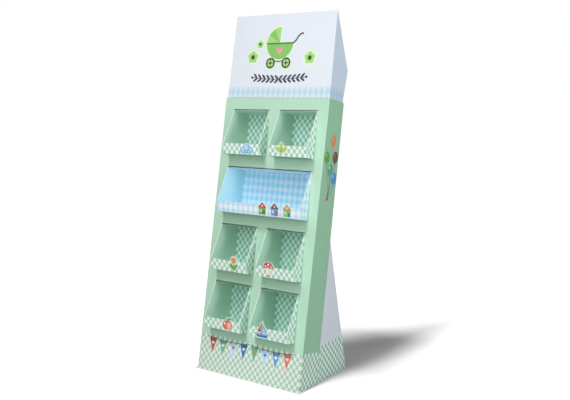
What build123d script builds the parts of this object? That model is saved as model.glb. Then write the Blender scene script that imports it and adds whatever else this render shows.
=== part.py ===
from build123d import *
import math
import os

# Board and paper, all lengths in millimetres
board = 4.0
card = 1.5
fold_radius = 2.5
seat_gap = 0.3

# Column: a leaning tube of folded board
stand_width = 600.0
lean = 11.0
column_length = 1335.0
depth_foot = 145.0
depth_top = 128.0

# Windows in the front of the column
margin = 55.0
window_height = 225.0
headroom = 4.0

# Trays
lip_height = 51.0
lip_reach = 48.0
seam_width = 0.6
seam_depth = 1.2

# Header box
header_rise = 413.0
header_taper = 6.0
header_corner_rise = 154.0
header_corner_depth = 144.0
header_front_tuck = 40.0
header_step = 25.0

# Rear support
footprint_depth = 412.0
support_top = 695.0
glue_flap = 45.0

# Picture cards
card_foot = 7.0
card_border = 3.0
card_shift = 35.0
house_margin = 75.0
house_pitch = 70.0

# Helpers for cutting: how far a cut runs past an open side, and how near a point counts as on a line
cut_past = 40.0
near = 1.0

# Values that follow from the ones above
sin_lean = math.sin(math.radians(lean))
cos_lean = math.cos(math.radians(lean))
half_width = stand_width / 2
row_pitch = window_height + margin
small_window = (stand_width - 3 * margin) / 2
wide_window = stand_width - 2 * margin
small_centre = (margin + small_window) / 2
tray_height = window_height - headroom
back_wall = board * math.hypot(1.0, (depth_foot - depth_top) / column_length)
sills = [column_length - margin - window_height - row * row_pitch for row in range(4)]


def depth_at(u):
    """Depth of the column, front face to back face, at a distance u up its front."""
    return depth_foot + (depth_top - depth_foot) * u / column_length


def plain_point(u, v):
    """Point u up the leaning front and v behind it, from the front foot edge, as (y, z)."""
    return (u * sin_lean + v * cos_lean, u * cos_lean - v * sin_lean)


# The origin lies under the middle of the whole stand, so the reach to the front and back is found first
front_reach = min(0.0, plain_point(sills[3], -lip_reach)[0] - card)
back_reach = max(footprint_depth, plain_point(column_length + header_corner_rise, header_corner_depth)[0])
middle = (front_reach + back_reach) / 2


def leaning(u, v):
    """Point u up the leaning front and v behind it, in the frame of the stand, as (y, z)."""
    y, z = plain_point(u, v)
    return (y - middle, z)


def meet(p, q, r, s):
    """Point where the line through p and q crosses the line through r and s."""
    ax, ay = q[0] - p[0], q[1] - p[1]
    bx, by = s[0] - r[0], s[1] - r[1]
    k = ((r[0] - p[0]) * by - (r[1] - p[1]) * bx) / (ax * by - ay * bx)
    return (p[0] + k * ax, p[1] + k * ay)


def inset(points, walls):
    """Outline moved inwards by one wall thickness for each side; a negative wall moves that side out."""
    moved = []
    for i, wall in enumerate(walls):
        p, q = points[i], points[(i + 1) % len(points)]
        length = math.dist(p, q)
        nx, ny = -(q[1] - p[1]) / length * wall, (q[0] - p[0]) / length * wall
        moved.append(((p[0] + nx, p[1] + ny), (q[0] + nx, q[1] + ny)))
    return [meet(*moved[i - 1], *moved[i]) for i in range(len(points))]


def prism(points, half):
    """Outline in the side view carried across the stand, half to each side of the middle."""
    return extrude(Plane.YZ * Polygon(*points, align=None), amount=half, both=True)


front_plane = Plane(origin=(0, -middle, 0), x_dir=(1, 0, 0), z_dir=(0, -cos_lean, sin_lean))

# Column: closed by a floor flap at the foot and open at the top
front_foot = leaning(0, 0)
front_top = leaning(column_length, 0)
back_top = leaning(column_length, depth_top)
back_low = leaning(0, depth_foot)
back_foot = meet(back_low, back_top, front_foot, (front_foot[0] + near, 0.0))
column_outline = [front_foot, back_foot, back_top, front_top]
column = prism(column_outline, half_width)
side_edges = column.edges().filter_by(lambda e: abs(e.center().X) > half_width - near)
column = fillet(side_edges.filter_by(lambda e: e.length > column_length / 2), fold_radius)
column -= prism(inset(column_outline, [board, board, -cut_past, board]), half_width - board)

openings = [(0.0, sills[1], wide_window)]
for sill in (sills[0], sills[2], sills[3]):
    openings += [(-small_centre, sill, small_window), (small_centre, sill, small_window)]
for x, sill, width in openings:
    window = front_plane * Pos(x, sill + window_height / 2) * Rectangle(width, window_height)
    column -= extrude(window, amount=2 * board, both=True)

# Header box: pushed into the column, its back and sides standing on the ceilings of the top trays
tuck_end = sills[0] + tray_height
plug_front = board + seat_gap
plug_half = half_width - board - seat_gap
back_seat = depth_at(column_length) - back_wall - seat_gap
back_end = depth_at(tuck_end) - back_wall - seat_gap
tuck_start = column_length - header_front_tuck
kite = [
    leaning(tuck_end, plug_front),
    leaning(tuck_end, back_end),
    leaning(column_length, back_seat),
    leaning(column_length + header_corner_rise, header_corner_depth),
    leaning(column_length + header_rise, plug_front),
]


def between_sides(wall):
    """Space between the header's sides, less a wall each side; they draw together towards the top."""
    low, high = tuck_end - 2 * cut_past, column_length + header_rise
    slope = header_taper / (high - tuck_end)
    wide, narrow = plug_half - wall + slope * 2 * cut_past, plug_half - wall - header_taper
    outline = Polygon((-wide, low), (wide, low), (narrow, high), (-narrow, high), align=None)
    return extrude(front_plane * outline, amount=footprint_depth, both=True)


header = prism(kite, half_width) & between_sides(0.0)
upper_edges = header.edges().filter_by(lambda e: e.center().Z > kite[2][1] + near)
header = fillet(upper_edges.filter_by(lambda e: e.length > header_corner_rise / 2), fold_radius)
header -= prism(inset(kite, [-cut_past, board, board, board, board]), half_width) & between_sides(board)
notch = [
    leaning(tuck_end - board, -board),
    leaning(tuck_end - board, plug_front + header_step),
    leaning(tuck_start, plug_front + header_step),
    leaning(tuck_start, -board),
]
header -= prism(notch, half_width)

# Rear support: two triangular sides, a sloping back and a floor flap, glued to the back of the column
support_peak = leaning(support_top, depth_at(support_top))
heel = (footprint_depth - middle, 0.0)
wedge_outline = [back_foot, heel, support_peak]
support = prism(wedge_outline, half_width)
slope_middle = (heel[0] + support_peak[0]) / 2
side_edges = support.edges().filter_by(lambda e: abs(e.center().X) > half_width - near)
support = fillet(side_edges.filter_by(lambda e: abs(e.center().Y - slope_middle) < near), fold_radius)
support -= prism(inset(wedge_outline, [board, board, board]), half_width - board)
support -= prism(inset(wedge_outline, [board, board, -cut_past]), half_width - board - glue_flap)


def make_tray(x, sill, window_width):
    """One tray: a box that rests on the window sill, with cheeks and an upright lip in front."""
    half = window_width / 2 - seat_gap
    top = sill + tray_height
    lip_top_reach = lip_reach + lip_height * sin_lean / cos_lean
    lip_foot = leaning(sill, -lip_reach)
    lip_top = leaning(sill + lip_height, -lip_top_reach)
    outline = [
        lip_foot,
        leaning(sill, depth_at(sill) - back_wall),
        leaning(top, depth_at(top) - back_wall),
        leaning(top, 0.0),
        lip_top,
    ]
    tray = prism(outline, half)
    middle_floor = (outline[0][1] + outline[1][1]) / 2
    low_edges = tray.edges().filter_by(
        lambda e: abs(e.center().Z - lip_foot[1]) < near
        or (abs(e.center().X) > half - near and abs(e.center().Z - middle_floor) < near)
    )
    tray = fillet(low_edges, fold_radius)
    hollow = inset(outline, [board, board, board, 0.0, board])
    inner_lip_top = meet(hollow[0], hollow[4], lip_top, leaning(sill + lip_height, 0.0))
    hollow_outline = [
        hollow[0],
        hollow[1],
        hollow[2],
        leaning(top - board, -2 * lip_top_reach),
        leaning(sill + lip_height, -2 * lip_top_reach),
        inner_lip_top,
    ]
    tray -= prism(hollow_outline, half - board)
    seam_height = lip_top[1] - lip_foot[1] - 2 * fold_radius
    for side in (-1, 1):
        seam = Box(seam_width, 2 * seam_depth, seam_height, align=(Align.CENTER, Align.CENTER, Align.MAX))
        tray -= Pos(side * (half - board), lip_foot[0], lip_top[1]) * seam
    return Pos(x, 0, 0) * tray


# Picture cards: the shape of each picture with a plain border round it, upright on the front of a lip
def disc(x, z, radius):
    """Round field of a picture, grown by the border."""
    return Pos(x, z) * Circle(radius + card_border)


def oval(x, z, long_radius, short_radius, turn):
    """Oval field of a picture, turned by some degrees and grown by the border."""
    return Pos(x, z) * Rot(0, 0, turn) * Ellipse(long_radius + card_border, short_radius + card_border)


def bar(x, z, width, height):
    """Rectangular field of a picture, grown by the border."""
    return Pos(x, z) * Rectangle(width + 2 * card_border, height + 2 * card_border)


def facet(*points):
    """Straight-sided field of a picture, grown by the border."""
    return Polygon(*inset(points, [-card_border] * len(points)), align=None)


def cloud():
    return disc(-22, 15, 15) + disc(2, 24, 22) + disc(25, 16, 16) + bar(1, 8, 46, 16)


def sprig():
    return bar(0, 16, 5, 32) + oval(-16, 26, 19, 10, -35) + oval(16, 26, 19, 10, 35) + oval(0, 40, 10, 19, 0)


def house():
    return bar(0, 17, 40, 34) + facet((-26, 32), (26, 32), (0, 58))


def tulip():
    leaves = oval(-12, 20, 8, 17, 35) + oval(12, 20, 8, 17, -35)
    return bar(0, 18, 6, 36) + oval(0, 50, 17, 18, 0) + leaves


def toadstool():
    below = Pos(0, 38 - card_border - 40) * Rectangle(120, 80)
    return disc(0, 38, 29) - below + bar(0, 19, 20, 38)


def apple():
    fruit = oval(-11, 23, 18, 23, 0) + oval(11, 23, 18, 23, 0)
    return fruit + bar(0, 47, 5, 20) + oval(14, 54, 14, 6, 25)


def sailboat():
    sails = facet((5, 24), (34, 24), (5, 72)) + facet((-26, 24), (-5, 24), (-5, 62))
    return facet((-26, 0), (26, 0), (40, 19), (-40, 19)) + bar(0, 40, 5, 60) + sails


def make_card(picture, x, sill):
    """One card: the outline of a picture, glued upright to the front of a lip."""
    foot = leaning(sill, -lip_reach)
    lip_plane = Plane(origin=(x, foot[0], foot[1] + card_foot), x_dir=(1, 0, 0), z_dir=(0, -1, 0))
    return extrude(lip_plane * picture, amount=card, dir=(0, -1, 0))


left, right = -small_centre, small_centre
parts = {
    "column": column,
    "header_box": header,
    "rear_support": support,
    "tray_top_left": make_tray(left, sills[0], small_window),
    "tray_top_right": make_tray(right, sills[0], small_window),
    "tray_wide": make_tray(0.0, sills[1], wide_window),
    "tray_middle_left": make_tray(left, sills[2], small_window),
    "tray_middle_right": make_tray(right, sills[2], small_window),
    "tray_bottom_left": make_tray(left, sills[3], small_window),
    "tray_bottom_right": make_tray(right, sills[3], small_window),
    "card_cloud": make_card(cloud(), left + card_shift, sills[0]),
    "card_sprig": make_card(sprig(), right - card_shift, sills[0]),
    "card_tulip": make_card(tulip(), left + card_shift, sills[2]),
    "card_toadstool": make_card(toadstool(), right - card_shift, sills[2]),
    "card_apple": make_card(apple(), left + card_shift, sills[3]),
    "card_sailboat": make_card(sailboat(), right - card_shift, sills[3]),
}
for place, name in enumerate(("card_house_right", "card_house_middle", "card_house_left")):
    parts[name] = make_card(house(), wide_window / 2 - house_margin - place * house_pitch, sills[1])

os.makedirs("parts", exist_ok=True)
for name, part in parts.items():
    export_step(part, f"parts/{name}.step")
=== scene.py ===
import math

import bpy
import numpy as np
from mathutils import Matrix, Vector


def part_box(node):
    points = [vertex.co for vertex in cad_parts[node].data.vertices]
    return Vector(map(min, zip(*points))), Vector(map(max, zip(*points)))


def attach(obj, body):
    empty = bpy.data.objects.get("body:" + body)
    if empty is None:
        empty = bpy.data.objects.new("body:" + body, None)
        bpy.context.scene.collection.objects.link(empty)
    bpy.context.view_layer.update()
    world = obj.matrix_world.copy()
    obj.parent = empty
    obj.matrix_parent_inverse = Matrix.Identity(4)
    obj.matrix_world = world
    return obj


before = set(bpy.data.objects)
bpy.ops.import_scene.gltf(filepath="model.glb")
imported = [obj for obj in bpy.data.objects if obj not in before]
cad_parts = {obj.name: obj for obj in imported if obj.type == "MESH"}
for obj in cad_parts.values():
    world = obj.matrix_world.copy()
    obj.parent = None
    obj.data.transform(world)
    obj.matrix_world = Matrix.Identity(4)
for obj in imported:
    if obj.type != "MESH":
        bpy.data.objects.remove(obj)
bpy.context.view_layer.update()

# Sizes of the board stand in millimetres, as the solids have them
MM = 0.001
LEAN = math.radians(11.0)
BOARD = 4.0
STAND_WIDTH = 600.0
COLUMN_LENGTH = 1335.0
MARGIN = 55.0
WINDOW_HEIGHT = 225.0
HEADROOM = 4.0
LIP_HEIGHT = 51.0
LIP_REACH = 48.0
SEAT_GAP = 0.3
CARD_BORDER = 3.0
CARD_SHIFT = 35.0
HOUSE_MARGIN = 75.0
HOUSE_PITCH = 70.0
HEADER_FRONT = BOARD + SEAT_GAP

# Sizes of the print and of the board's make-up in millimetres
CHECK_WIDE = 15.1
CHECK_HIGH = 18.1
FOOT_BAND = 175.0
SUPPORT_BAND = 171.5
FRONT_CHECK_START = -4.0
SIDE_CHECK_START = 16.0
SUPPORT_CHECK_START = 21.0
HEADER_BAND = 62.0
HEADER_BAND_FADE = 16.0
HEADER_STRIPE = (21.0, 39.0)
# Height of the painted line of shade along the header's seat
SEAT_LINE = 3.5
INK_STEP = 0.06
INK_SINK = 0.05
FLUTE_PERIOD = 7.2
FLUTE_INSET = 0.75
FLUTE_PAPER = 0.55
FLUTE_BLUR = 0.15
LINER_PAPER = 0.65
LINER_BLUR = 0.12

# How faces are told apart: least part of a normal that points one way, and places in millimetres
SIDE_FACING = 0.7
FLAT_FACING = 0.9
PLUMB_FACING = 0.95
FRONT_FACING = 0.8
SLANT_FACING = (0.2, 0.5)
EDGE_FACING = 0.5
INWARD_LIMIT = -0.05
INSIDE_DEPTH = 50.0
BACK_DEPTH = 80.0
ROW_SLACK = 20.0
LIP_SLACK = 8.0
PANEL_SKIN = 0.1
PANEL_BEND = 1.0
RIM_SLACK = 0.5

# Ink strengths, and how crisp the edges of printed checks and stripes are
CHECK_CRISP = 7.0
GINGHAM_CRISP = 4.0
POST_CRISP = 3.0
POST_INK = 0.36
RAIL_INK = 0.3
BAND_INK = 0.14
# Strength of the painted line of shade along the header's seat, not an ink
SEAT_SHADE_STRENGTH = 0.6
INK_THIN = 0.1

# Skin of the board: noises in bumps a metre, their shares of tone and roughness, heights in metres
BLOTCH_SCALE = 7.0
GRAIN_SCALE = 620.0
BOW_SCALE = 2.6
CARD_GRAIN_SCALE = 90.0
INK_BLOTCH_SCALE = 45.0
FINE_DETAIL = 3.0
COARSE_DETAIL = 1.0
GRAIN_ROUGHNESS = 0.6
LEAST_TONE = 0.96
BLOTCH_TONE = 0.05
GRAIN_TONE = 0.03
LEAST_ROUGH = 0.5
BLOTCH_ROUGH = 0.08
GRAIN_ROUGH = 0.16
FLUTE_HEIGHT = 0.000012
GRAIN_HEIGHT = 0.00003
BOW_HEIGHT = 0.0022
EDGE_HEIGHT = 0.0004
BOARD_GLOSS = 0.32

# Values that follow from the sizes above and from the frame
ROW_PITCH = WINDOW_HEIGHT + MARGIN
LOWEST_SILL = COLUMN_LENGTH - MARGIN - WINDOW_HEIGHT - 3 * ROW_PITCH
TRAY_HEIGHT = WINDOW_HEIGHT - HEADROOM
LIP_TOP_REACH = LIP_REACH + LIP_HEIGHT * math.tan(LEAN)
FOOT_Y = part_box("column")[0].y / MM
SMALL_HALF = (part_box("tray_top_right")[1].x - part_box("tray_top_right")[0].x) / MM / 2
SMALL_CENTRE = (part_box("tray_top_right")[1].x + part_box("tray_top_right")[0].x) / MM / 2
WIDE_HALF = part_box("tray_wide")[1].x / MM

# Camera and light
CAMERA_PLACE = (2.1779, -2.9896, 1.3514)
CAMERA_YAW = math.radians(35.025)
CAMERA_PITCH = math.radians(8.039)
CAMERA_ROLL = math.radians(0.235)
CAMERA_LENS = 49.475
CAMERA_SENSOR = 36.0
KEY_FROM = (-0.086, -0.373, 0.924)
KEY_STRENGTH = 1.54
KEY_COLOUR = (1.0, 1.0, 1.0)
KEY_SIZE = math.radians(7.0)
STAND_MIDDLE = (0.0, 0.0, 0.9)
HEADER_ROOF = (0.0, 0.15, 1.55)
FOOT_FRONT = (0.0, -0.2, 0.25)
SKY_COLOUR = (1.0, 1.0, 1.0, 1.0)
SKY_SEEN = 1.0
SKY_LEVEL = 0.02
FLOOR_REACH = 30.0
FLOOR_ROUGH = 0.9
FLOOR_GLOSS = 0.1
FLOOR_SEEN = (0.683, 0.653, 0.66, 1.0)
FLOOR_BOUNCE = (0.6, 0.6, 0.6, 1.0)
FLOOR_GLOW = (0.77, 0.77, 0.77, 1.0)
# Rounded diamond on the floor left without glow: a painted shadow
SHADOW_CENTRE = (0.21, 0.308)
SHADOW_TURN = math.radians(-13.0)
SHADOW_HALF = (0.12, 0.33)
SHADOW_FADE = 4.15
SHADOW_ROUND = 1.2
# Width over which the glow fades in beside the foot: a painted contact shadow
CONTACT_FADE = 0.03
FRONT_FADE = (0.02, 0.32)

# Soft boxes: place, point they face, watts, size in metres, spread in degrees and colour
BOXES = {
    "front_box": ((-0.1, -1.7, 2.5), STAND_MIDDLE, 11.9, 1.0, 180.0, (0.99, 1.0, 0.97)),
    "high_box": ((2.2, -0.8, 3.0), STAND_MIDDLE, 24.7, 1.4, 180.0, (0.95, 0.99, 1.0)),
    "level_box": ((0.2, -2.6, 1.7), STAND_MIDDLE, 19.0, 1.2, 180.0, (0.98, 1.0, 0.99)),
    "side_box": ((2.8, -0.5, 1.2), STAND_MIDDLE, 22.8, 0.7, 180.0, (0.92, 0.975, 1.0)),
    "front_card": ((0.0, -0.48, 0.02), FOOT_FRONT, 0.3, 0.5, 180.0, (0.72, 1.0, 0.9)),
    "rear_box": ((-0.9, 2.6, 1.5), STAND_MIDDLE, 8.0, 1.4, 180.0, (1.0, 1.0, 1.0)),
    "rear_card": ((-0.7, 1.9, 0.03), (-0.7, 1.9, 2.0), 30.0, 1.8, 180.0, (1.0, 1.0, 1.0)),
    "rear_spot": ((-1.2, 2.0, 2.6), HEADER_ROOF, 0.9, 0.4, 30.0, (1.0, 1.0, 1.0)),
}


def paint(red, green, blue):
    """Linear colour of a screen colour given in steps of 0 to 255."""
    def linear(step):
        part = step / 255
        return part / 12.92 if part <= 0.04045 else ((part + 0.055) / 1.055) ** 2.4
    return (linear(red), linear(green), linear(blue), 1.0)


# Colours of the print and of the bare board, and of painted shade: the shaded sides, the front edges of
# the tray ceilings and the line along the header's seat
MINT = paint(181, 218, 194)
# Plain mint of the column sides: a darker copy of MINT, painted shade
MINT_SHADED_SIDE = paint(158, 203, 170)
MINT_INSIDE = paint(199, 230, 213)
MINT_UNDER = paint(128, 186, 148)
# Front edge of the mint tray ceilings, painted darker as shade
MINT_BROW_SHADE = paint(150, 185, 163)
CHECK_PALE = paint(223, 238, 226)
CHECK_DEEP = paint(179, 197, 184)
SIDE_PALE = paint(231, 252, 241)
SIDE_DEEP = paint(163, 190, 173)
LIP_PALE = paint(236, 248, 241)
LIP_DEEP = paint(171, 208, 188)
BACK_PALE = paint(235, 250, 248)
BACK_DEEP = paint(144, 206, 186)
WHITE_BOARD = paint(224, 228, 237)
# White of the header sides: a darker, bluer copy of WHITE_BOARD, painted shade
WHITE_SHADED_SIDE = paint(213, 225, 241)
BAND_BLUE = paint(166, 206, 228)
# Colour of the painted line of shade where the header meets the column
SEAT_SHADE = paint(140, 160, 160)
BLUE_INSIDE = paint(208, 243, 254)
# Front edge of the blue tray ceiling, painted darker as shade
BLUE_BROW_SHADE = paint(170, 205, 235)
BLUE_PALE = paint(240, 246, 255)
BLUE_DEEP = paint(162, 226, 255)
BLUE_LIP = paint(192, 223, 243)
BLUE_LIP_PALE = paint(236, 248, 255)
RAW_BOARD = paint(206, 200, 186)
CARD_WHITE = paint(240, 240, 236)
CARD_GREY = paint(232, 238, 232)

# Cut edges of the board: the gaps between the flutes, darker as painted shade in the hollows, and the
# paper round them
MINT_EDGE = (paint(140, 176, 156), paint(200, 226, 210))
TRAY_EDGE = (paint(196, 220, 208), paint(243, 252, 248))
BLUE_EDGE = (paint(186, 210, 230), paint(240, 248, 255))

# Inks of the pictures
INKS = {
    "lime": paint(158, 212, 112),
    "leaf": paint(126, 192, 92),
    "pale_lime": paint(219, 241, 205),
    "dark": paint(34, 38, 40),
    "navy": paint(40, 40, 62),
    "white": paint(240, 243, 245),
    "rose": paint(232, 148, 150),
    "red": paint(190, 62, 48),
    "coral": paint(222, 104, 88),
    "peach": paint(240, 190, 158),
    "orange": paint(222, 140, 84),
    "brown": paint(120, 74, 56),
    "grass": paint(88, 168, 70),
    "deep_green": paint(44, 122, 72),
    "sea_green": paint(86, 170, 134),
    "sky": paint(92, 180, 216),
    "pale_sky": paint(184, 214, 240),
    "blue": paint(24, 108, 176),
    "mid_blue": paint(78, 146, 212),
    "cream": paint(248, 232, 214),
    "olive": paint(188, 210, 104),
}


# Shader arithmetic, with the places of the colour sockets on a Mix node
MIX_BASE = 6
MIX_OVER = 7
MIX_RESULT = 2


class Field:
    """A number that changes over a surface: arithmetic on it adds Math nodes to its tree."""

    def __init__(self, tree, socket):
        self.tree = tree
        self.socket = socket

    def math(self, operation, *others):
        """One Math node on this number and the others."""
        node = self.tree.nodes.new("ShaderNodeMath")
        node.operation = operation
        for place, value in enumerate((self,) + others):
            feed(self.tree, node.inputs[place], value)
        return Field(self.tree, node.outputs[0])

    def __add__(self, other):
        return self.math("ADD", other)

    def __sub__(self, other):
        return self.math("SUBTRACT", other)

    def __mul__(self, other):
        return self.math("MULTIPLY", other)

    def __gt__(self, other):
        return self.math("GREATER_THAN", other)

    def __lt__(self, other):
        return self.math("LESS_THAN", other)

    def size(self):
        return self.math("ABSOLUTE")

    def sine(self, period):
        return (self * (2 * math.pi / period)).math("SINE")

    def wrap(self, period):
        return self.math("FLOORED_MODULO", period)

    def either(self, other):
        return self.math("MAXIMUM", other)

    def least(self, other):
        return self.math("MINIMUM", other)

    def off(self):
        """The opposite mask: 1 where this one is 0."""
        return self < 0.5

    def inked(self, crisp):
        """Print mask of a wave: 1 where it is high, with an ink edge that is thinner the crisper it is."""
        return (self * crisp + 0.5).ramp(0.0, 1.0)

    def ramp(self, low, high):
        """Rises smoothly from 0 at low to 1 at high."""
        node = self.tree.nodes.new("ShaderNodeMapRange")
        node.interpolation_type = "SMOOTHSTEP"
        node.inputs["From Min"].default_value = low
        node.inputs["From Max"].default_value = high
        feed(self.tree, node.inputs["Value"], self)
        return Field(self.tree, node.outputs["Result"])


def feed(tree, target, value):
    """Sets a socket to a constant, or links a changing value to it."""
    if isinstance(value, Field):
        tree.links.new(value.socket, target)
    else:
        target.default_value = value


def pick(mask, first, second):
    """One number where the mask is 1 and another where it is 0."""
    return mask * first + (mask * -1.0 + 1.0) * second


def blend(tree, mask, base, over, kind="MIX"):
    """Colour that goes from base to over, or to their product, as the mask goes from 0 to 1."""
    node = tree.nodes.new("ShaderNodeMix")
    node.data_type = "RGBA"
    node.blend_type = kind
    feed(tree, node.inputs["Factor"], mask)
    feed(tree, node.inputs[MIX_BASE], base)
    feed(tree, node.inputs[MIX_OVER], over)
    return Field(tree, node.outputs[MIX_RESULT])


def noise(tree, scale, detail=2.0, roughness=0.5):
    """Even noise on the Object coordinates, 0 to 1, with scale in bumps a metre."""
    where = tree.nodes.new("ShaderNodeTexCoord")
    node = tree.nodes.new("ShaderNodeTexNoise")
    node.inputs["Scale"].default_value = scale
    node.inputs["Detail"].default_value = detail
    node.inputs["Roughness"].default_value = roughness
    tree.links.new(where.outputs["Object"], node.inputs["Vector"])
    return Field(tree, node.outputs["Fac"])


def new_group(name, inputs, outputs, formula):
    """Shader node group: formula takes the tree and its inputs and gives its outputs in order."""
    tree = bpy.data.node_groups.new(name, "ShaderNodeTree")
    for label in inputs:
        tree.interface.new_socket(label, in_out="INPUT", socket_type="NodeSocketFloat")
    for label in outputs:
        tree.interface.new_socket(label, in_out="OUTPUT", socket_type="NodeSocketFloat")
    entry = tree.nodes.new("NodeGroupInput")
    leave = tree.nodes.new("NodeGroupOutput")
    results = formula(tree, *[Field(tree, entry.outputs[label]) for label in inputs])
    for label, result in zip(outputs, results):
        tree.links.new(result.socket, leave.inputs[label])
    return tree


def place_group(tree, group, **values):
    """Puts a group into a tree with its own values and gives its outputs."""
    node = tree.nodes.new("ShaderNodeGroup")
    node.node_tree = group
    for label, value in values.items():
        feed(tree, node.inputs[label], value)
    return [Field(tree, socket) for socket in node.outputs]


def split(tree, socket):
    """The three parts of a vector socket."""
    node = tree.nodes.new("ShaderNodeSeparateXYZ")
    tree.links.new(socket, node.inputs[0])
    return [Field(tree, out) for out in node.outputs]


def lean_formula(tree):
    """Place and facing in the leaning board's own axes: across, up the front and behind the front.
    Up is y sin + z cos and behind is y cos - z sin, with y from the front foot edge. The plain y and z
    and the plain facing along y come last."""
    x, y, z = split(tree, tree.nodes.new("ShaderNodeTexCoord").outputs["Object"])
    nx, ny, nz = split(tree, tree.nodes.new("ShaderNodeNewGeometry").outputs["True Normal"])
    sin, cos = math.sin(LEAN), math.cos(LEAN)
    x, y, z = x * (1 / MM), y * (1 / MM) - FOOT_Y, z * (1 / MM)
    place = (x, y * sin + z * cos, y * cos - z * sin)
    facing = (nx, ny * sin + nz * cos, ny * cos - nz * sin)
    return place + facing + (y, z, ny)


def check_formula(tree, along, up):
    """Checkerboard: the sign of two sines multiplied, with a thin soft ink edge."""
    return [(along.sine(2 * CHECK_WIDE) * up.sine(2 * CHECK_HIGH)).inked(CHECK_CRISP)]


def gingham_formula(tree, along, up):
    """Woven check: half of the sum of stripes one way and stripes the other way."""
    posts = along.sine(2 * CHECK_WIDE).inked(GINGHAM_CRISP)
    rails = up.sine(2 * CHECK_HIGH).inked(GINGHAM_CRISP)
    return [(posts + rails) * 0.5]


def skin_formula(tree, across):
    """Printed board skin: tone varies a little in blotches, the flutes show through as faint ripples,
    fibres give a fine grain and each panel bows by under a millimetre. Heights are in metres."""
    blotch = noise(tree, BLOTCH_SCALE, FINE_DETAIL)
    grain = noise(tree, GRAIN_SCALE, FINE_DETAIL, GRAIN_ROUGHNESS)
    bow = noise(tree, BOW_SCALE, COARSE_DETAIL)
    tone = blotch * BLOTCH_TONE + grain * GRAIN_TONE + LEAST_TONE
    rough = grain * GRAIN_ROUGH + blotch * BLOTCH_ROUGH + LEAST_ROUGH
    height = across.sine(FLUTE_PERIOD) * FLUTE_HEIGHT + grain * GRAIN_HEIGHT + bow * BOW_HEIGHT
    return tone, rough, height


def flute_formula(tree, along, through):
    """Cut edge of the board: two liners and a wave of paper between them, with gaps on both sides."""
    wave = along.sine(FLUTE_PERIOD) * (BOARD / 2 - FLUTE_INSET) + BOARD / 2
    paper = ((through - wave).size() * -1.0 + FLUTE_PAPER).ramp(-FLUTE_BLUR, FLUTE_BLUR)
    liner = ((through - BOARD / 2).size() - (BOARD / 2 - LINER_PAPER)).ramp(-LINER_BLUR, LINER_BLUR)
    filled = paper.either(liner)
    return filled, filled * EDGE_HEIGHT


LEANING = new_group(
    "leaning_place", [], ["X", "U", "V", "Face X", "Face U", "Face V", "Y", "Z", "Face Y"], lean_formula
)
CHECKS = new_group("printed_check", ["Along", "Up"], ["Mask"], check_formula)
GINGHAM = new_group("printed_gingham", ["Along", "Up"], ["Mask"], gingham_formula)
SKIN = new_group("board_skin", ["Across"], ["Tone", "Roughness", "Height"], skin_formula)
FLUTES = new_group("fluted_edge", ["Along", "Through"], ["Paper", "Height"], flute_formula)


def new_material(name):
    """New material with nodes, and its node tree."""
    material = bpy.data.materials.new(name)
    material.use_nodes = True
    return material, material.node_tree


def finish_board(tree, colour, across, edge=None):
    """Joins a print colour, the board's skin and, where the mask says so, its fluted cut edge."""
    tone, rough, height = place_group(tree, SKIN, Across=across)
    toned = blend(tree, 1.0, colour, tone, "MULTIPLY")
    if edge is not None:
        mask, along, through, colours = edge
        paper, edge_height = place_group(tree, FLUTES, Along=along, Through=through)
        toned = blend(tree, mask, toned, blend(tree, paper, *colours))
        height = pick(mask, edge_height, height)
    shader = tree.nodes["Principled BSDF"]
    shader.inputs["Specular IOR Level"].default_value = BOARD_GLOSS
    feed(tree, shader.inputs["Base Color"], toned)
    feed(tree, shader.inputs["Roughness"], rough)
    bump = tree.nodes.new("ShaderNodeBump")
    bump.inputs["Strength"].default_value = 1.0
    bump.inputs["Distance"].default_value = 1.0
    feed(tree, bump.inputs["Height"], height)
    tree.links.new(bump.outputs["Normal"], shader.inputs["Normal"])


# Materials of the folded sheets
def column_board():
    """Mint print with a checked foot band outside, the plain mint on the sides painted darker and deeper
    as shade, raw board on the faces that look inwards, pale fluted edges round each window and along the
    top."""
    material, tree = new_material("mint_column_board")
    x, u, v, nx, nu, nv = place_group(tree, LEANING)[:6]
    side = nx.size() > SIDE_FACING
    across = pick(side, v, x)
    start = pick(side, SIDE_CHECK_START, FRONT_CHECK_START)
    check, = place_group(tree, CHECKS, Along=across - start, Up=u - FOOT_BAND)
    pale, deep = blend(tree, side, CHECK_PALE, SIDE_PALE), blend(tree, side, CHECK_DEEP, SIDE_DEEP)
    # On the sides the plain mint is swapped for its painted shaded copy
    plain = blend(tree, side, MINT, MINT_SHADED_SIDE)
    face_colour = blend(tree, u < FOOT_BAND, plain, blend(tree, check, pale, deep))
    outward = nx * x * (1 / STAND_WIDTH) + nv * (v - INSIDE_DEPTH) * (0.5 / INSIDE_DEPTH)
    colour = blend(tree, outward < INWARD_LIMIT, face_colour, RAW_BOARD)
    within = (v < BOARD - PANEL_SKIN) * (v > PANEL_SKIN) * (x.size() < STAND_WIDTH / 2 - PANEL_BEND)
    reveal = (nv.size() < EDGE_FACING) * within
    rim = (nu > FLAT_FACING) * (u > COLUMN_LENGTH - RIM_SLACK)
    along = pick(side, u, x)
    through = v.least(x.size() * -1.0 + STAND_WIDTH / 2).size()
    finish_board(tree, colour, across, (reveal.either(rim), along, through, MINT_EDGE))
    return material


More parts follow.
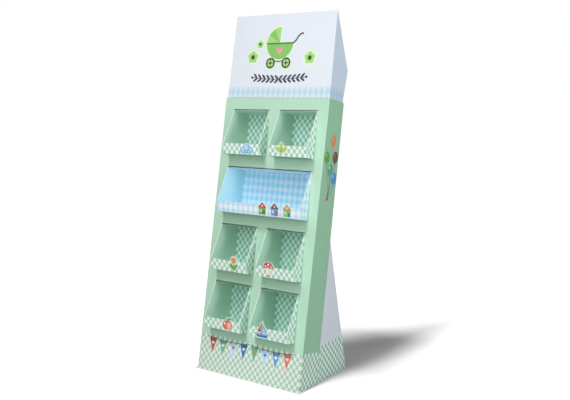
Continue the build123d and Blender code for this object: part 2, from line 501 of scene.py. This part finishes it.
def header_board():
    """Cool white print, with the sides painted darker and bluer as shade, and a blue woven check along the
    lower edge: posts, one rail and a ground tint that fade out upwards, and a painted line of shade where
    the front meets the column."""
    material, tree = new_material("white_header_board")
    x, u, v, nx, _, nv = place_group(tree, LEANING)[:6]
    side = nx.size() > SIDE_FACING
    across = pick(side, v, x)
    rise = u - COLUMN_LENGTH
    posts = across.sine(2 * CHECK_WIDE).inked(POST_CRISP)
    rail = (rise > HEADER_STRIPE[0]) * (rise < HEADER_STRIPE[1])
    fade = (rise * -1.0 + HEADER_BAND).ramp(0.0, HEADER_BAND_FADE)
    weave = (posts * POST_INK + rail * RAIL_INK + BAND_INK) * fade
    # On the sides the white is swapped for its painted shaded copy
    band = blend(tree, weave, blend(tree, side, WHITE_BOARD, WHITE_SHADED_SIDE), BAND_BLUE)
    # Painted shade: a dark line at the foot of the header front
    painted_seat_shade = (rise < SEAT_LINE) * (nv < -FLAT_FACING) * SEAT_SHADE_STRENGTH
    face_colour = blend(tree, painted_seat_shade, band, SEAT_SHADE)
    finish_board(tree, face_colour, across)
    return material


def support_board():
    """Cool white print with the check along the floor, squares kept level with the floor."""
    material, tree = new_material("white_support_board")
    x, _, _, nx, _, _, y, z, _ = place_group(tree, LEANING)
    side = nx.size() > SIDE_FACING
    across = pick(side, y, x)
    check, = place_group(tree, CHECKS, Along=across - SUPPORT_CHECK_START, Up=z - SUPPORT_BAND)
    band = blend(tree, check, SIDE_PALE, SIDE_DEEP)
    face_colour = blend(tree, z < SUPPORT_BAND, WHITE_BOARD, band)
    finish_board(tree, face_colour, across)
    return material


def tray_board(name, half, centre, plain, brow_shade_colour, weave, lip_colours, back_colours, edge_colours):
    """Tray print: plain inside walls, mint under the floor, patterned back wall, lip and outer cheeks, a
    front edge of the ceiling painted deeper as shade, and pale fluted edges."""
    material, tree = new_material(name)
    x, u, v, nx, nu, nv, _, _, ny = place_group(tree, LEANING)
    away = x.size() - centre
    height = (u - LOWEST_SILL + ROW_SLACK).wrap(ROW_PITCH) - ROW_SLACK
    side = nx.size() > SIDE_FACING
    across = pick(side, v, x)
    cheek_edge = away.size() > half - BOARD
    lip_face = (ny < -PLUMB_FACING) * (v < -LIP_REACH + LIP_SLACK)
    lip_mask, = place_group(tree, weave, Along=across, Up=height)
    back_mask, = place_group(tree, weave, Along=x, Up=height)
    lip_print = blend(tree, lip_mask, *lip_colours)
    back_print = blend(tree, back_mask, *back_colours)
    outer_cheek = side * (nx * x * away > 0.0)
    back_face = (nv < -FLAT_FACING) * (v > BACK_DEPTH)
    underside = (nu < -FLAT_FACING) * (height < BOARD / 2)
    cut_front = (nu < SLANT_FACING[1]) * (nv < -FRONT_FACING)
    # Front edge of the ceiling: painted shade along the top of each opening
    shaded_brow = cut_front * (height > TRAY_HEIGHT - BOARD) * cheek_edge.off()
    colour = blend(tree, underside, blend(tree, back_face, plain, back_print), MINT_UNDER)
    colour = blend(tree, lip_face.either(outer_cheek), blend(tree, shaded_brow, colour, brow_shade_colour), lip_print)
    slant = cut_front * (nu > SLANT_FACING[0]) * shaded_brow.off()
    lip_top = (nu > FLAT_FACING) * ((height - LIP_HEIGHT).size() < BOARD / 2)
    lip_end = lip_face * cheek_edge
    edge = slant.either(lip_top).either(lip_end)
    along = pick(cheek_edge, u, x)
    through = pick(cheek_edge, away.size() * -1.0 + half, v + LIP_TOP_REACH)
    finish_board(tree, colour, across, (edge, along, through, edge_colours))
    return material


def card_stock():
    """Smooth white card with a faint grain, the border of each picture."""
    material, tree = new_material("white_card_stock")
    x = place_group(tree, LEANING)[0]
    white = blend(tree, noise(tree, CARD_GRAIN_SCALE), CARD_WHITE, CARD_GREY)
    finish_board(tree, white, x)
    return material


def ink(name):
    """One flat printing ink on the board's skin, a little uneven as it dried."""
    material, tree = new_material("ink_" + name)
    x = place_group(tree, LEANING)[0]
    colour = INKS[name]
    thin = tuple((1 - INK_THIN) * part + INK_THIN * grey for part, grey in zip(colour, CARD_GREY))
    finish_board(tree, blend(tree, noise(tree, INK_BLOTCH_SCALE, FINE_DETAIL), colour, thin), x)
    return material


small_board = tray_board(
    "mint_tray_board", SMALL_HALF, SMALL_CENTRE, MINT_INSIDE, MINT_BROW_SHADE,
    CHECKS, (LIP_PALE, LIP_DEEP), (BACK_PALE, BACK_DEEP), TRAY_EDGE,
)
wide_board = tray_board(
    "blue_tray_board", WIDE_HALF, 0.0, BLUE_INSIDE, BLUE_BROW_SHADE,
    GINGHAM, (BLUE_LIP_PALE, BLUE_LIP), (BLUE_PALE, BLUE_DEEP), BLUE_EDGE,
)
card_board = card_stock()
coats = {"column": column_board(), "header_box": header_board(), "rear_support": support_board()}
for name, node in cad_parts.items():
    if name.startswith("card"):
        coat = card_board
    elif name == "tray_wide":
        coat = wide_board
    else:
        coat = coats.get(name, small_board)
    node.data.materials.clear()
    node.data.materials.append(coat)

ink_materials = {name: ink(name) for name in INKS}


# Outlines of printed fields, in millimetres on the surface they lie on
MITRE_LIMIT = 0.6


def disc(x, z, radius, start=0.0, end=360.0, points=40):
    """Points round a circle, or round a slice of it between two angles in degrees."""
    turn = np.radians(np.linspace(start, end, points, endpoint=abs(end - start) < 360.0))
    return np.column_stack([x + radius * np.cos(turn), z + radius * np.sin(turn)])


def slice_of_disc(x, z, radius, start, end):
    """Slice of a circle from its centre."""
    return np.vstack([[x, z], disc(x, z, radius, start, end)])


def oval(x, z, wide, high, turn=0.0):
    """Points round an ellipse turned by some degrees."""
    ring = disc(0.0, 0.0, 1.0) * (wide, high)
    cos, sin = math.cos(math.radians(turn)), math.sin(math.radians(turn))
    return ring @ np.array([[cos, sin], [-sin, cos]]) + (x, z)


def bar(x, z, width, height):
    """Rectangle about its middle."""
    corners = np.array([(-0.5, -0.5), (0.5, -0.5), (0.5, 0.5), (-0.5, 0.5)])
    return corners * (width, height) + (x, z)


def facet(*points):
    """Straight-sided field with the corners given."""
    return np.array(points, float)


def ribbon(path, width):
    """Strip of even width along a path: each point moved half the width to both sides."""
    path = np.asarray(path, float)
    along = np.gradient(path, axis=0)
    along /= np.linalg.norm(along, axis=1)[:, None]
    off = np.column_stack([-along[:, 1], along[:, 0]]) * width / 2
    return np.vstack([path + off, (path - off)[::-1]])


def heart(x, z, size, points=48):
    """Heart curve: a sine cubed across, and a cosine less its next three overtones up, 32 units wide."""
    turn = np.linspace(0.0, 2 * math.pi, points, endpoint=False)
    wide = 16 * np.sin(turn) ** 3
    high = 13 * np.cos(turn) - 5 * np.cos(2 * turn) - 2 * np.cos(3 * turn) - np.cos(4 * turn)
    return np.column_stack([wide, high])[::-1] * (size / 32) + (x, z)


def grown(outline, border):
    """Outline moved outwards by a border along the mean of each corner's two side normals, less far
    at sharp corners."""
    if signed_area(outline) < 0:
        outline = outline[::-1]
    side = np.roll(outline, -1, axis=0) - outline
    side = side / np.linalg.norm(side, axis=1)[:, None]
    normal = np.column_stack([side[:, 1], -side[:, 0]])
    mean = normal + np.roll(normal, 1, axis=0)
    mean /= np.maximum((mean * mean).sum(1), MITRE_LIMIT)[:, None] / 2
    return outline + mean * border


def signed_area(outline):
    """Area by the sum of cross products of neighbours: positive where the outline runs anticlockwise."""
    following = np.roll(outline, -1, axis=0)
    return 0.5 * float(np.sum(outline[:, 0] * following[:, 1] - following[:, 0] * outline[:, 1]))


def print_picture(name, fields, origin, right, up):
    """Lays flat ink fields on a surface: each outline is carried a little way out along the surface's
    normal, later fields a step higher, so that every field is a thin closed plate."""
    origin, right, up = (np.array(part, float) for part in (origin, right, up))
    out = np.cross(right, up)
    names = sorted({tone for _, tone, _ in fields})
    points, faces, tones = [], [], []
    for outline, tone, level in fields:
        if signed_area(outline) < 0:
            outline = outline[::-1]
        count, first = len(outline), sum(len(part) for part in points)
        flat = origin + outline[:, :1] * right * MM + outline[:, 1:] * up * MM
        points += [flat - out * INK_SINK * MM, flat + out * level * INK_STEP * MM]
        ring = np.arange(count)
        after = np.roll(ring, -1)
        walls = np.column_stack([ring, after, after + count, ring + count]) + first
        faces += [tuple(ring[::-1] + first), tuple(ring + count + first)] + [tuple(wall) for wall in walls]
        tones += [names.index(tone)] * (count + 2)
    mesh = bpy.data.meshes.new(name)
    mesh.from_pydata(np.vstack(points), [], [tuple(int(i) for i in face) for face in faces])
    mesh.polygons.foreach_set("material_index", tones)
    for tone in names:
        mesh.materials.append(ink_materials[tone])
    mesh.update()
    piece = bpy.data.objects.new(name, mesh)
    bpy.context.scene.collection.objects.link(piece)
    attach(piece, "root")


def leaning_point(x, u, v):
    """Point across, up the front and behind the front, in metres in the frame of the stand."""
    y = u * math.sin(LEAN) + v * math.cos(LEAN) + FOOT_Y
    return (x * MM, y * MM, (u * math.cos(LEAN) - v * math.sin(LEAN)) * MM)


ACROSS = (1.0, 0.0, 0.0)
UP_FRONT = (0.0, math.sin(LEAN), math.cos(LEAN))
BACKWARDS = (0.0, math.cos(LEAN), -math.sin(LEAN))
UPRIGHT = (0.0, 0.0, 1.0)


# Pictures on the cards: the fields of the card's own outline come first
def cloud_picture():
    """Three discs on a bar, paler discs inside them and a row of oval drops."""
    body = [disc(-22, 15, 15), disc(2, 24, 22), disc(25, 16, 16), bar(1, 8, 46, 16)]
    shine = [disc(-22, 18, 9), disc(0, 29, 14), disc(25, 20, 9)]
    drops = [oval(x, 8, 2.6, 4.4) for x in (-18, -2, 14, 28)]
    fields = [(f, "sky", 1 + k) for k, f in enumerate(body)]
    fields += [(f, "pale_sky", 5 + k) for k, f in enumerate(shine)]
    return fields + [(f, "white", 8) for f in drops]


def sprig_picture():
    """Three oval leaves on a straight stem, with a vein along each."""
    leaves = [oval(-16, 26, 19, 10, -35), oval(16, 26, 19, 10, 35), oval(0, 40, 10, 19)]
    veins = [ribbon([(-29, 35), (-4, 18)], 1.6), ribbon([(29, 35), (4, 18)], 1.6), bar(0, 40, 1.6, 30)]
    fields = [(bar(0, 16, 5, 32), "grass", 4)] + [(f, "olive", 1 + k) for k, f in enumerate(leaves)]
    return fields + [(f, "grass", 5 + k) for k, f in enumerate(veins)]


def house_picture(wall, roof, door):
    """Wall under a triangle of roof, with a door, a window with four panes and a round light above."""
    fields = [(bar(0, 17, 40, 34), wall, 1), (facet((-26, 32), (26, 32), (0, 58)), roof, 2)]
    fields += [(bar(9, 9.5, 10, 19), door, 3), (disc(0, 41, 4), "cream", 3)]
    panes = [(bar(-9, 18, 12, 12), "white", 3), (bar(-9, 18, 1.4, 12), "dark", 4)]
    return fields + panes + [(bar(-9, 18, 12, 1.4), "dark", 5)]


def tulip_picture():
    """Oval bloom with three petals, on a stem between two oval leaves."""
    leaves = [oval(-12, 20, 8, 17, 35), oval(12, 20, 8, 17, -35)]
    petals = [facet((-15, 56), (-7, 38), (-1, 62)), facet((15, 56), (7, 38), (1, 62)), oval(0, 47, 8, 13)]
    fields = [(bar(0, 18, 6, 36), "grass", 3), (oval(0, 50, 17, 18), "peach", 4)]
    fields += [(f, "grass", 1 + k) for k, f in enumerate(leaves)]
    return fields + [(f, "orange", 5 + k) for k, f in enumerate(petals)]


def toadstool_picture():
    """Half a disc with round spots, on a shaded stalk that stands in grass."""
    spots = [disc(-15, 47, 4.6), disc(1, 55, 5.4), disc(16, 46, 4.2), disc(-2, 42, 3)]
    fields = [(bar(0, 19, 20, 38), "cream", 1), (disc(0, 38, 29, 0.0, 180.0), "red", 2)]
    fields += [(f, "white", 3) for f in spots]
    return fields + [(bar(0, 3, 20, 6), "deep_green", 2), (bar(6, 21, 3, 26), "peach", 2)]


def apple_picture():
    """Two ovals side by side with a stalk and a leaf, and two paler ovals for its shine."""
    fields = [(oval(-11, 23, 18, 23), "coral", 1), (oval(11, 23, 18, 23), "coral", 2)]
    fields += [(bar(0, 47, 5, 20), "brown", 3), (oval(14, 54, 14, 6, 25), "grass", 4)]
    return fields + [(oval(10, 22, 12, 17), "peach", 3), (oval(-16, 30, 4, 8, 20), "cream", 3)]


def sailboat_picture():
    """Hull with four corners and a line along it, a mast and two triangular sails."""
    hull = facet((-26, 0), (26, 0), (40, 19), (-40, 19))
    jib, shine = facet((5, 24), (34, 24), (5, 72)), facet((8, 28), (20, 28), (8, 48))
    mainsail = facet((-26, 24), (-5, 24), (-5, 62))
    fields = [(hull, "blue", 1), (bar(0, 40, 5, 60), "brown", 2), (jib, "sky", 1)]
    return fields + [(mainsail, "red", 1), (bar(0, 14, 66, 3), "pale_sky", 3), (shine, "pale_sky", 2)]


LEFT_CARD = CARD_SHIFT - SMALL_CENTRE
RIGHT_CARD = SMALL_CENTRE - CARD_SHIFT
FIRST_HOUSE = STAND_WIDTH / 2 - MARGIN - HOUSE_MARGIN
CARDS = {
    "card_cloud": (LEFT_CARD, cloud_picture()),
    "card_sprig": (RIGHT_CARD, sprig_picture()),
    "card_house_left": (FIRST_HOUSE - 2 * HOUSE_PITCH, house_picture("grass", "red", "brown")),
    "card_house_middle": (FIRST_HOUSE - HOUSE_PITCH, house_picture("mid_blue", "brown", "red")),
    "card_house_right": (FIRST_HOUSE, house_picture("leaf", "orange", "blue")),
    "card_tulip": (LEFT_CARD, tulip_picture()),
    "card_toadstool": (RIGHT_CARD, toadstool_picture()),
    "card_apple": (LEFT_CARD, apple_picture()),
    "card_sailboat": (RIGHT_CARD, sailboat_picture()),
}
for card, (x, fields) in CARDS.items():
    low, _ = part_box(card)
    place = (x * MM, low.y, low.z + CARD_BORDER * MM)
    print_picture(card.replace("card", "print"), fields, place, ACROSS, UPRIGHT)


def pram_picture():
    """Baby carriage in plain fields: half a disc for the body, slices for the hood, ringed wheels."""
    size = 76.0
    body = disc(0, 0, size, 180.0, 360.0)
    hood = [slice_of_disc(0, 3, size, 90.0 + 30 * k, 120.0 + 30 * k) for k in range(3)]
    push = np.array([(72, -3), (92, 14), (103, 33), (116, 43), (130, 45)])
    bend = np.linspace(-1.5, 1.5, 15)
    axle = np.column_stack([bend * 30, -78 - 7 * np.cos(bend)])
    fields = [(grown(body, 7), "pale_lime", 1)]
    fields += [(grown(slice_of_disc(0, 3, size, 90.0, 180.0), 7), "pale_lime", 2)]
    fields += [(ribbon(push, 8), "dark", 3), (body, "leaf", 4)]
    fields += [(bar(0, 1, 2 * size + 4, 7), "deep_green", 9)]
    fields += [(part, tone, 5 + k) for k, (part, tone) in enumerate(zip(hood, ("lime", "leaf", "lime")))]
    fields += [(heart(0, -34, 38), "rose", 5), (ribbon(axle, 5), "dark", 5)]
    for x in (-45, 45):
        rings = ((31, "pale_lime", 3), (26, "dark", 6), (18, "lime", 7), (6, "dark", 10))
        fields += [(disc(x, -93, radius), tone, level) for radius, tone, level in rings]
        fields += [(bar(x, -93, 36, 3), "dark", 8), (bar(x, -93, 3, 36), "dark", 9)]
    return fields


def flower_picture(x, z, size):
    """Five round petals about a round middle on a pale ground."""
    fields = [(disc(x, z, 1.1 * size), "pale_lime", 1)]
    for k in range(5):
        turn = math.radians(90 + 72 * k)
        petal = disc(x + 0.5 * size * math.cos(turn), z + 0.5 * size * math.sin(turn), 0.38 * size)
        fields.append((petal, "lime", 2 + k))
    return fields + [(disc(x, z, 0.32 * size), "dark", 8)]


def garland_picture():
    """Leafy stem: a shallow arc with a pair of leaves at even steps and a berry at each end."""
    half, sag, count = 150.0, 9.0, 12
    reach = np.linspace(-half, half, 60)

    def hang(place):
        return sag * ((place / half) ** 2 - 0.5)

    fields = [(ribbon(np.column_stack([reach, hang(reach)]), 3.6), "navy", 1)]
    for k in range(count):
        x = -half + (k + 0.5) * 2 * half / count
        slope = math.degrees(math.atan(2 * sag * x / half ** 2))
        lean = slope + (38 if x > 0 else 142)
        fields.append((oval(x, hang(x) + 10, 14.0, 5.4, lean), "navy", 2))
        fields.append((oval(x, hang(x) - 10, 14.0, 5.4, 2 * slope - lean), "navy", 3))
    return fields + [(disc(side * (half + 7), hang(half), 6.5), "navy", 2) for side in (-1, 1)]


def bunting_picture():
    """Pennants on a string that hangs in two shallow swags."""
    half, sag, wide, high = 250.0, 9.0, 46.0, 74.0
    tones = ("red", "sea_green", "pale_sky", "blue", "sea_green", "pale_sky", "mid_blue", "coral")
    marks = ("cream", "white", "red", "white", "coral", "blue", "white", "cream")
    x = np.linspace(-half, half, 61)

    def drop(place):
        return -sag * (1 - (2 * ((place + half) % half) / half - 1) ** 2)

    fields = [(ribbon(np.column_stack([x, drop(x)]), 3.0), "deep_green", 3)]
    for k, (tone, mark) in enumerate(zip(tones, marks)):
        place = -half + (k + 0.5) * 2 * half / len(tones)
        top = float(drop(place)) - 1
        flag = facet((place - wide / 2, top), (place, top - high), (place + wide / 2, top))
        fields += [(grown(flag, 3.0), "white", 1), (flag, tone, 2), (heart(place, top - 23, 17), mark, 3)]
        fields += [(bar(place + side * wide / 3, top, 4.5, 11), "dark", 4) for side in (-1, 1)]
    return fields


def balloon_picture():
    """Five balloons on strings that meet in one knot."""
    knot = (64.0, 0.0)
    places = (
        (70, 262, "orange", "peach"),
        (30, 182, "grass", "olive"),
        (100, 190, "brown", "coral"),
        (66, 128, "sea_green", "pale_lime"),
        (104, 92, "mid_blue", "pale_sky"),
    )
    fields = []
    for k, (x, z, tone, shine) in enumerate(places):
        fall = np.linspace(0.0, 1.0, 14)
        bend = 6 * np.sin(fall * math.pi)
        path = np.column_stack([x + (knot[0] - x) * fall + bend, (z - 32) * (1 - fall)])
        fields += [(ribbon(path, 1.8), "dark", 1 + k), (oval(x, z, 22, 28), tone, 7)]
        fields += [(facet((x - 5, z - 34), (x + 5, z - 34), (x, z - 24)), tone, 8)]
        fields += [(oval(x - 8, z + 10, 4.5, 9, 25), shine, 8)]
    return fields + [(heart(knot[0], -6, 18), "red", 9)]


PRAM_SHIFT = -12.0
PRAM_RISE = 262.0
FLOWER_RISE = 200.0
GARLAND_RISE = 96.0
BUNTING_UP = 166.0
BALLOON_UP = 888.0
flowers = flower_picture(-165, 0, 34) + flower_picture(165, -10, 34) + flower_picture(-128, 62, 22)
HEADER_PRINTS = {
    "print_pram": (pram_picture(), PRAM_SHIFT, PRAM_RISE),
    "print_flowers": (flowers, 0.0, FLOWER_RISE),
    "print_garland": (garland_picture(), 0.0, GARLAND_RISE),
}
for name, (fields, x, rise) in HEADER_PRINTS.items():
    place = leaning_point(x, COLUMN_LENGTH + rise, HEADER_FRONT)
    print_picture(name, fields, place, ACROSS, UP_FRONT)
band_place = leaning_point(0, BUNTING_UP, 0)
print_picture("print_bunting", bunting_picture(), band_place, ACROSS, UP_FRONT)
side_place = leaning_point(STAND_WIDTH / 2, BALLOON_UP, 0)
print_picture("print_balloons", balloon_picture(), side_place, BACKWARDS, UP_FRONT)


# Floor, light and camera
def studio_floor():
    """Wide pale floor: one flat square. To the camera it glows in front of the stand and outside a rounded
    diamond about the shadow, and the glow fades out beside the foot: the diamond left without glow is a
    painted shadow over the cast one, and the fade a painted contact shadow."""
    mesh = bpy.data.meshes.new("studio_floor")
    corners = np.array([(-1, -1, 0), (1, -1, 0), (1, 1, 0), (-1, 1, 0)]) * FLOOR_REACH
    mesh.from_pydata(corners, [], [(0, 1, 2, 3)])
    floor = bpy.data.objects.new("studio_floor", mesh)
    bpy.context.scene.collection.objects.link(floor)
    material, tree = new_material("pale_floor")
    seen = Field(tree, tree.nodes.new("ShaderNodeLightPath").outputs["Is Camera Ray"])
    x, y, _ = split(tree, tree.nodes.new("ShaderNodeTexCoord").outputs["Object"])
    beside = (x.size() - STAND_WIDTH / 2 * MM).either(y.size() + FOOT_Y * MM).ramp(0.0, CONTACT_FADE)
    ahead = (y * -1.0).ramp(*FRONT_FADE)
    x, y = x - SHADOW_CENTRE[0], y - SHADOW_CENTRE[1]
    cos, sin = math.cos(SHADOW_TURN), math.sin(SHADOW_TURN)
    wide = ((x * cos + y * sin) * (1 / SHADOW_HALF[0])).size().math("POWER", SHADOW_ROUND)
    long = ((y * cos - x * sin) * (1 / SHADOW_HALF[1])).size().math("POWER", SHADOW_ROUND)
    outside = (wide + long).math("POWER", 1 / SHADOW_ROUND).ramp(1.0, SHADOW_FADE)
    shader = tree.nodes["Principled BSDF"]
    feed(tree, shader.inputs["Base Color"], blend(tree, seen, FLOOR_BOUNCE, FLOOR_SEEN))
    shader.inputs["Roughness"].default_value = FLOOR_ROUGH
    shader.inputs["Specular IOR Level"].default_value = FLOOR_GLOSS
    shader.inputs["Emission Color"].default_value = FLOOR_GLOW
    # Glow for the camera, withheld as painted shadow in the diamond and beside the foot
    feed(tree, shader.inputs["Emission Strength"], seen * outside.either(ahead) * beside)
    mesh.materials.append(material)


def soft_light():
    """High key from the front left, soft boxes round the stand and a sky that the camera sees as white."""
    for name, (place, aim, power, size, spread, colour) in BOXES.items():
        light = bpy.data.lights.new(name, "AREA")
        light.energy = power
        light.size = size
        light.spread = math.radians(spread)
        light.color = colour
        box = bpy.data.objects.new(name, light)
        box.location = place
        box.rotation_euler = (Vector(place) - Vector(aim)).to_track_quat("Z", "Y").to_euler()
        box.visible_camera = False
        bpy.context.scene.collection.objects.link(box)
    key = bpy.data.lights.new("key", "SUN")
    key.energy = KEY_STRENGTH
    key.color = KEY_COLOUR
    key.angle = KEY_SIZE
    lamp = bpy.data.objects.new("key", key)
    lamp.rotation_euler = Vector(KEY_FROM).to_track_quat("Z", "Y").to_euler()
    bpy.context.scene.collection.objects.link(lamp)
    world = bpy.data.worlds.new("studio")
    world.use_nodes = True
    bpy.context.scene.world = world
    tree = world.node_tree
    sky = tree.nodes["Background"]
    sky.inputs["Color"].default_value = SKY_COLOUR
    seen = Field(tree, tree.nodes.new("ShaderNodeLightPath").outputs["Is Camera Ray"])
    feed(tree, sky.inputs["Strength"], pick(seen, SKY_SEEN, SKY_LEVEL))


def photo_camera():
    """Camera of the photograph: turned by the yaw from looking straight at the front, tipped down by
    the pitch and rolled slightly."""
    forward = Vector((
        -math.sin(CAMERA_YAW) * math.cos(CAMERA_PITCH),
        math.cos(CAMERA_YAW) * math.cos(CAMERA_PITCH),
        -math.sin(CAMERA_PITCH),
    ))
    right = Vector((math.cos(CAMERA_YAW), math.sin(CAMERA_YAW), 0.0))
    down = forward.cross(right)
    level_right = right * math.cos(CAMERA_ROLL) + down * math.sin(CAMERA_ROLL)
    level_up = right * math.sin(CAMERA_ROLL) - down * math.cos(CAMERA_ROLL)
    data = bpy.data.cameras.new("photo_camera")
    data.lens = CAMERA_LENS
    data.sensor_width = CAMERA_SENSOR
    data.sensor_fit = "HORIZONTAL"
    camera = bpy.data.objects.new("photo_camera", data)
    turn = Matrix((level_right, level_up, -forward)).transposed()
    camera.matrix_world = Matrix.Translation(CAMERA_PLACE) @ turn.to_4x4()
    bpy.context.scene.collection.objects.link(camera)
    bpy.context.scene.camera = camera


studio_floor()
soft_light()
photo_camera()
bpy.context.scene.view_settings.view_transform = "Standard"
